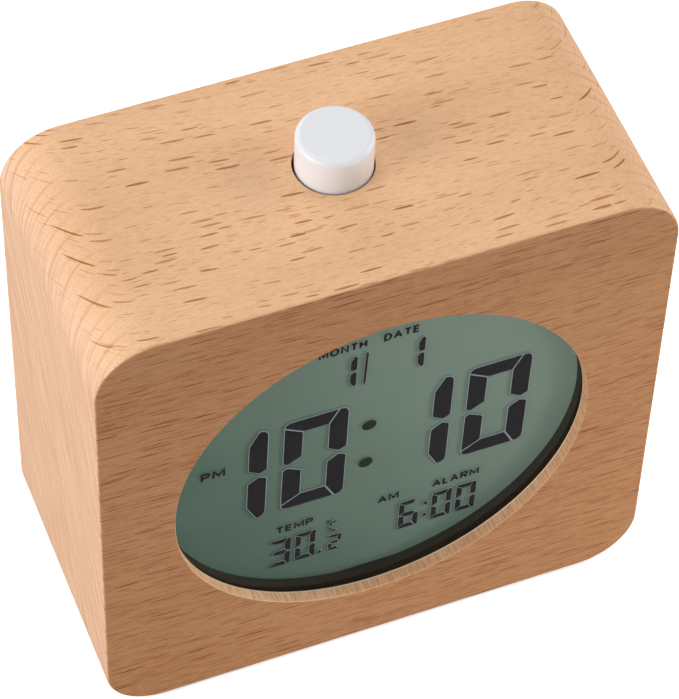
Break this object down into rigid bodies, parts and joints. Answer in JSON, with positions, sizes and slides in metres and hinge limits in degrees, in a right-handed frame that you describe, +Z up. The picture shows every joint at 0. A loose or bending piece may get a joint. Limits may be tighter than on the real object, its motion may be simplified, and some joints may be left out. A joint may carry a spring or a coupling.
{
  "type": "alarm clock",
  "caption": "Desk alarm clock: a beech block with a round display window, a push button on top, and keys, sounder and battery door on the back.",
  "frame": {"origin": "on the table, under the middle of the block", "axes": "+Z up, the display faces -Y, +X to the right of someone reading the display"},
  "size_m": [0.1, 0.048, 0.1077],
  "materials": {
    "beech": "sanded, thin matt oil finish, grain along X",
    "white_plastic": "fine moulded texture",
    "button_plastic": "smooth, soft gloss",
    "black_plastic": "fine moulded texture",
    "clear_plastic": "clear acrylic, polished faces",
    "display_glass": "liquid crystal sandwich, grey-green",
    "reflector": "diffuse film",
    "light_source": "white lamp body with a phosphor face",
    "conductive_rubber": "layered silicone",
    "circuit_board": "green solder mask",
    "component": "moulded epoxy",
    "steel": "zinc-plated",
    "nickel": "nickel-plated",
    "battery_sleeve": "plain printed sleeve, no marks",
    "red_wire": "PVC insulation",
    "black_wire": "PVC insulation",
    "grey_wire": "flat PVC cable",
    "soft_rubber": "soft polyurethane"
  },
  "bodies": {
    "case": {"alarm_switch_body": "steel", "back_cover": "white_plastic", "backlight_led": "light_source", "battery_1": "battery_sleeve", "battery_2": "battery_sleeve", "black_lead": "black_wire", "board_screw_1": "steel", "board_screw_2": "steel", "board_screw_3": "steel", "board_screw_4": "steel", "bracket_screw_1": "steel", "bracket_screw_2": "steel", "bridge_plate": "nickel", "bridge_spring": "nickel", "buzzer": "black_plastic", "connector_strip_bottom": "conductive_rubber", "connector_strip_top": "conductive_rubber", "controller_chip": "component", "cover_screw_1": "steel", "cover_screw_2": "steel", "cover_screw_3": "steel", "cover_screw_4": "steel", "display_bezel": "black_plastic", "foot_1": "soft_rubber", "foot_2": "soft_rubber", "foot_3": "soft_rubber", "foot_4": "soft_rubber", "front_lens": "clear_plastic", "key_board": "circuit_board", "key_board_screw_1": "steel", "key_board_screw_2": "steel", "key_cable": "grey_wire", "key_switch_1": "component", "key_switch_2": "component", "key_switch_3": "component", "key_switch_4": "component", "lcd_holder": "white_plastic", "lcd_panel": "display_glass", "light_guide": "clear_plastic", "main_board": "circuit_board", "negative_spring": "nickel", "positive_plate": "nickel", "quartz_crystal": "nickel", "red_lead": "red_wire", "reflector_film": "reflector", "snooze_board": "circuit_board", "snooze_bracket": "white_plastic", "snooze_cable": "grey_wire", "snooze_spring": "nickel", "snooze_switch": "component", "thermistor": "component", "wood_case": "beech"},
    "snooze_key": {"snooze_button": "button_plastic"},
    "time_key": {"time_button": "button_plastic"},
    "alarm_key": {"alarm_button": "button_plastic"},
    "up_key": {"up_button": "button_plastic"},
    "down_key": {"down_button": "button_plastic"},
    "alarm_switch": {"alarm_switch_knob": "black_plastic"},
    "door": {"battery_door": "white_plastic"}
  },
  "joints": [
    {"name": "snooze_press", "type": "slide", "parent": "case", "child": "snooze_key", "axis": [0, 0, -1], "range_m": [0, 0.0012], "stiffness_N_per_m": 300, "springref_m": -0.0008, "deforming": ["snooze_spring"]},
    {"name": "time_press", "type": "slide", "parent": "case", "child": "time_key", "axis": [0, -1, 0], "range_m": [0, 0.0008], "stiffness_N_per_m": 300},
    {"name": "alarm_press", "type": "slide", "parent": "case", "child": "alarm_key", "axis": [0, -1, 0], "range_m": [0, 0.0008], "stiffness_N_per_m": 300},
    {"name": "up_press", "type": "slide", "parent": "case", "child": "up_key", "axis": [0, -1, 0], "range_m": [0, 0.0008], "stiffness_N_per_m": 300},
    {"name": "down_press", "type": "slide", "parent": "case", "child": "down_key", "axis": [0, -1, 0], "range_m": [0, 0.0008], "stiffness_N_per_m": 300},
    {"name": "alarm_switch_slide", "type": "slide", "parent": "case", "child": "alarm_switch", "axis": [1, 0, 0], "range_m": [0, 0.003]},
    {"name": "battery_door_hinge", "type": "hinge", "parent": "case", "child": "door", "pos_m": [0, 0.0236, 0.01955], "axis": [-1, 0, 0], "range_deg": [0, 60]}
  ]
}
